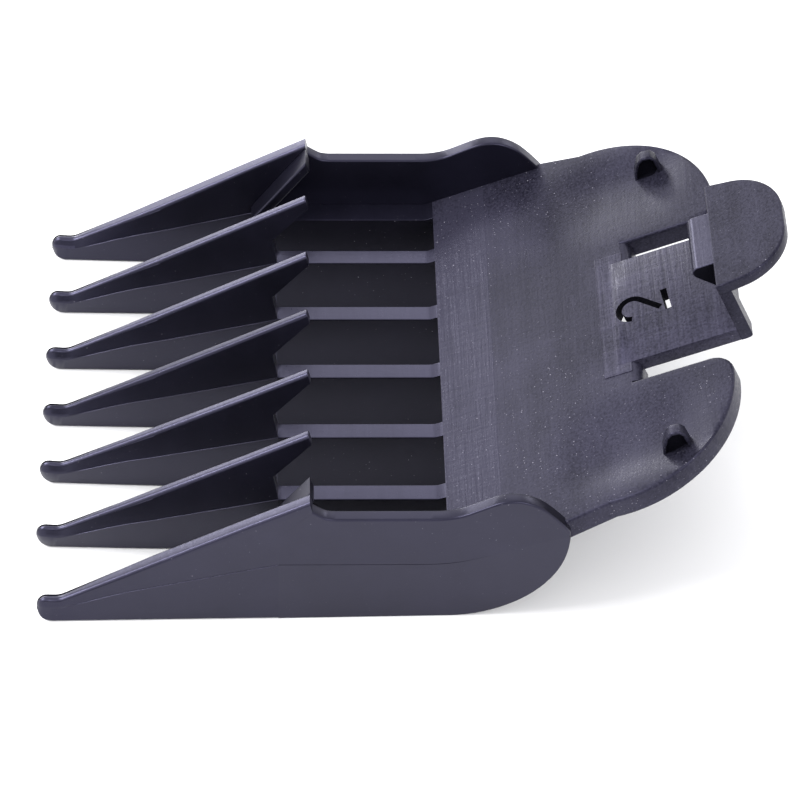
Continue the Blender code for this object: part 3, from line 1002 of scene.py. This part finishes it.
def make_nubs():
    """Small hooded nubs, open at both ends to a shallow pocket whose bands are painted dark as shade."""
    for word, side in SIDES:
        low, high = sorted(side * y for y in NUB_Y)
        ends = [(shrink, low + depth) for shrink, depth in NUB_POCKET]
        ends += [(shrink, high - depth) for shrink, depth in reversed(NUB_POCKET)]
        rings = []
        for shrink, y in ends:
            rings.append([across_plate(a, b, y) for a, b in inset(NUB, [shrink] * len(NUB))])
        work = bmesh.new()
        bands = len(rings) - 1
        for i, face in enumerate(add_loft(work, rings)):
            band = i // len(NUB)
            # The bands into the pockets get the darker plastic of painted shade
            if band < NUB_SHADE_BANDS or band >= bands - NUB_SHADE_BANDS:
                face.material_index = 1
        nodes = [f"nub_{word}"]
        new_piece(f"nub_{word}_moulded", work, COMB, nodes, PLATE_PLASTIC, PAINTED_DARK_SHADE_PLASTIC)


# ---------------------------------------------------------------- latch


def stroke_outline(spine):
    """The outline of a stroke of the numeral, as wide as STROKE, along its spine."""
    left = []
    right = []
    for i, here in enumerate(spine):
        before = Vector(spine[max(i - 1, 0)])
        after = Vector(spine[min(i + 1, len(spine) - 1)])
        along = (after - before).normalized()
        side = Vector((-along.y, along.x)) * STROKE / 2
        left.append((here[0] + side.x, here[1] + side.y))
        right.append((here[0] - side.x, here[1] - side.y))
    return left + right[::-1]


def cut_numeral(piece):
    """Cuts the generic size numeral through the tongue."""
    upper = arc(BOWL, BOWL_R, *BOWL_TURN, 16) + [DIAGONAL_END]
    for spine in (upper, FOOT_STROKE):
        work = bmesh.new()
        add_prism(work, stroke_outline(spine), *STROKE_CUT_B, on_plate)
        bmesh.ops.recalc_face_normals(work, faces=work.faces)
        tool = new_object("numeral_tool", work)
        # The cut faces take this darker plastic: painted shade inside the numeral
        tool.data.materials.append(PAINTED_DARK_SHADE_PLASTIC)
        modifier = piece.modifiers.new("numeral", "BOOLEAN")
        modifier.operation = "DIFFERENCE"
        modifier.solver = "EXACT"
        modifier.material_mode = "TRANSFER"
        modifier.object = tool
        graph = bpy.context.evaluated_depsgraph_get()
        result = bpy.data.meshes.new_from_object(piece.evaluated_get(graph))
        piece.modifiers.clear()
        piece.data = result
        bpy.data.objects.remove(tool, do_unlink=True)


def make_tongue():
    """The real tongue bends between the comb and the latch; this mesh only has cuts across it there."""
    half = [(ROOT_A, -TONGUE_HALF_Y)]
    half += [(TONGUE_SIDE_A + TONGUE_STEP * i, -TONGUE_HALF_Y) for i in range(17)]
    half.append((RISER_A, -TONGUE_HALF_Y))
    outline = mirrored(half)
    count = len(outline)
    sharp = (0, count - 2, count - 1, count // 2 - 1)
    work = bmesh.new()
    add_prism(work, outline, TONGUE_LOW_B, PAD_B, on_plate, LATCH_ROUND, sharp)
    cut_grid(work, [TONGUE_CUTS_A + TONGUE_STEP * i for i in range(9)], [])
    bmesh.ops.recalc_face_normals(work, faces=work.faces)
    tongue = new_object("latch_tongue_moulded", work)
    tongue.data.materials.append(PAD_PLASTIC)
    cut_numeral(tongue)
    shade(tongue, 38)
    start = place(on_plate(BEND_START_A, 0.0, BEND_B))
    end = place(on_plate(BEND_END_A, 0.0, BEND_B))
    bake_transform(tongue)
    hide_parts("latch_tongue")


def make_posts():
    """The uprights at the corners of the tongue's end, and the beam above the window between them."""
    foot = (RISER_BACK_A - RISER_FOOT_R, TONGUE_LOW_B + RISER_FOOT_R)
    post = [(RISER_A, TONGUE_LOW_B)] + arc(foot, RISER_FOOT_R, -90, 0, 5)
    post += [(RISER_BACK_A, RISER_B), (RISER_A, RISER_B)]
    for word, side in SIDES:
        work = bmesh.new()
        low, high = sorted((side * POST_INNER_Y, side * TONGUE_HALF_Y))
        add_prism(work, post, low, high, across_plate, LATCH_ROUND, (0,))
        nodes = [f"latch_post_{word}"]
        new_piece(f"latch_post_{word}_moulded", work, LATCH, nodes, PLATE_PLASTIC)
    beam = [(BEAM_A, BEAM_LOW_B), (RISER_BACK_A, BEAM_LOW_B), (RISER_BACK_A, RISER_B), (BEAM_A, RISER_B)]
    half_y = POST_INNER_Y + BEAM_LAP
    work = bmesh.new()
    add_prism(work, beam, -half_y, half_y, across_plate, LATCH_ROUND)
    new_piece("latch_beam_moulded", work, LATCH, ["latch_beam"], PLATE_PLASTIC)


def make_tab():
    half = [(RISER_A, TONGUE_HALF_Y), TAB_CORNER] + arc(TAB_CENTRE, TAB_R, 84, 0, 20)
    work = bmesh.new()
    add_prism(work, mirrored(half), *TAB_B, on_plate, TAB_ROUND)
    new_piece("thumb_tab_moulded", work, LATCH, ["thumb_tab"], PLATE_PLASTIC)


def make_barb():
    outline = [BARB_TOP] + arc(BARB_NOSE, BARB_NOSE_R, 90, 215, 8) + list(BARB_FOOT)
    work = bmesh.new()
    faces = add_prism(work, outline, *BARB_Y, across_plate, BARB_ROUND)
    # The barb's end caps are painted dark as shade
    for end_cap in faces[-2:]:
        end_cap.material_index = 1
    # The rest of the barb is in the paler plastic of painted highlight
    new_piece("latch_barb_moulded", work, LATCH, ["latch_barb"], PAINTED_HIGHLIGHT_PLASTIC, PAINTED_DARK_SHADE_PLASTIC)


# ---------------------------------------------------------------- floor, light, camera


FLOOR_HALF = 1.6
FLOOR_Z = -0.00002
FLOOR_COLOURS = ((0.86, 0.86, 0.87, 1.0), (0.9, 0.9, 0.9, 1.0))
FLOOR_ROUGHNESS = 0.7
WORLD_COLOUR = (0.98, 0.98, 1.0, 1.0)
WORLD_STRENGTH = 1.14
LIGHT_TARGET = (0.0, 0.0, 0.01)
# name: (location and size in metres, power in watts)
LIGHTS = {
    "left_soft": ((-0.42, -0.03, 0.45), 0.3, 3.6),
    "back_left_soft": ((-0.38, 0.45, 0.27), 0.18, 0.7),
    "low_back_soft": ((-0.24, 0.57, 0.12), 0.14, 0.95),
    "back_soft": ((0.03, 0.45, 0.46), 0.34, 0.5),
    "back_right_soft": ((0.42, 0.5, 0.36), 0.22, 0.5),
    "front_soft": ((0.3, -0.5, 0.5), 0.4, 2.2),
}
# Angles in radians, and the place in the comb's millimetres along the camera's right, up and back
CAMERA_AZIMUTH = -0.0526443288
CAMERA_ELEVATION = 0.801974482
CAMERA_ROLL = 0.0362478666
CAMERA_OFFSETS = (-3.71805876, 2.16421572, 359.550055)
CAMERA_LENS = 168.2739072
SENSOR = 36.0


def make_floor():
    """A pale ground, a hair below the comb so that the two don't coincide."""
    work = bmesh.new()
    bmesh.ops.create_grid(work, x_segments=8, y_segments=8, size=FLOOR_HALF)
    floor = new_object("floor", work)
    floor.location = (0.0, 0.0, FLOOR_Z)
    graph = Graph("pale_floor")
    cloud = graph.noise(graph.coords, 9.0, 2.0)
    graph.feed(graph.mix(cloud, *FLOOR_COLOURS), graph.shader.inputs["Base Color"])
    graph.feed(FLOOR_ROUGHNESS, graph.shader.inputs["Roughness"])
    floor.data.materials.append(graph.material)


def make_light(name, location, size, power):
    """A square area light that points at the comb."""
    data = bpy.data.lights.new(name, "AREA")
    data.shape = "SQUARE"
    data.size = size
    data.energy = power
    light = bpy.data.objects.new(name, data)
    light.location = location
    bpy.context.scene.collection.objects.link(light)
    direction = Vector(LIGHT_TARGET) - light.location
    light.rotation_euler = direction.to_track_quat("-Z", "Y").to_euler()


def make_lights():
    # The default view transform greys the blacks
    bpy.context.scene.view_settings.view_transform = "Standard"
    world = bpy.data.worlds.new("soft_white")
    bpy.context.scene.world = world
    world.use_nodes = True
    background = world.node_tree.nodes["Background"]
    background.inputs["Color"].default_value = WORLD_COLOUR
    background.inputs["Strength"].default_value = WORLD_STRENGTH
    for name, (location, size, power) in LIGHTS.items():
        make_light(name, location, size, power)


def make_camera():
    """The camera that was fitted to the photo."""
    level = math.cos(CAMERA_ELEVATION)
    back = Vector(
        (
            math.sin(CAMERA_AZIMUTH) * level,
            -math.cos(CAMERA_AZIMUTH) * level,
            math.sin(CAMERA_ELEVATION),
        )
    )
    level_right = Vector((0, 0, 1)).cross(back).normalized()
    level_up = back.cross(level_right)
    right = level_right * math.cos(CAMERA_ROLL) + level_up * math.sin(CAMERA_ROLL)
    up = level_up * math.cos(CAMERA_ROLL) - level_right * math.sin(CAMERA_ROLL)
    location = right * CAMERA_OFFSETS[0] + up * CAMERA_OFFSETS[1] + back * CAMERA_OFFSETS[2]
    data = bpy.data.cameras.new("camera")
    data.sensor_width = SENSOR
    data.lens = CAMERA_LENS
    data.clip_start = 0.01
    data.clip_end = 10.0
    camera = bpy.data.objects.new("camera", data)
    matrix = Matrix((right, up, back)).transposed().to_4x4()
    matrix.translation = place(location)
    camera.matrix_world = matrix
    bpy.context.scene.collection.objects.link(camera)
    bpy.context.scene.camera = camera


make_camera()
make_teeth()
make_webs()
make_walls()
make_slant_webs()
make_plate()
make_nubs()
make_tongue()
make_posts()
make_tab()
make_barb()
make_floor()
make_lights()

bpy.context.view_layer.update()
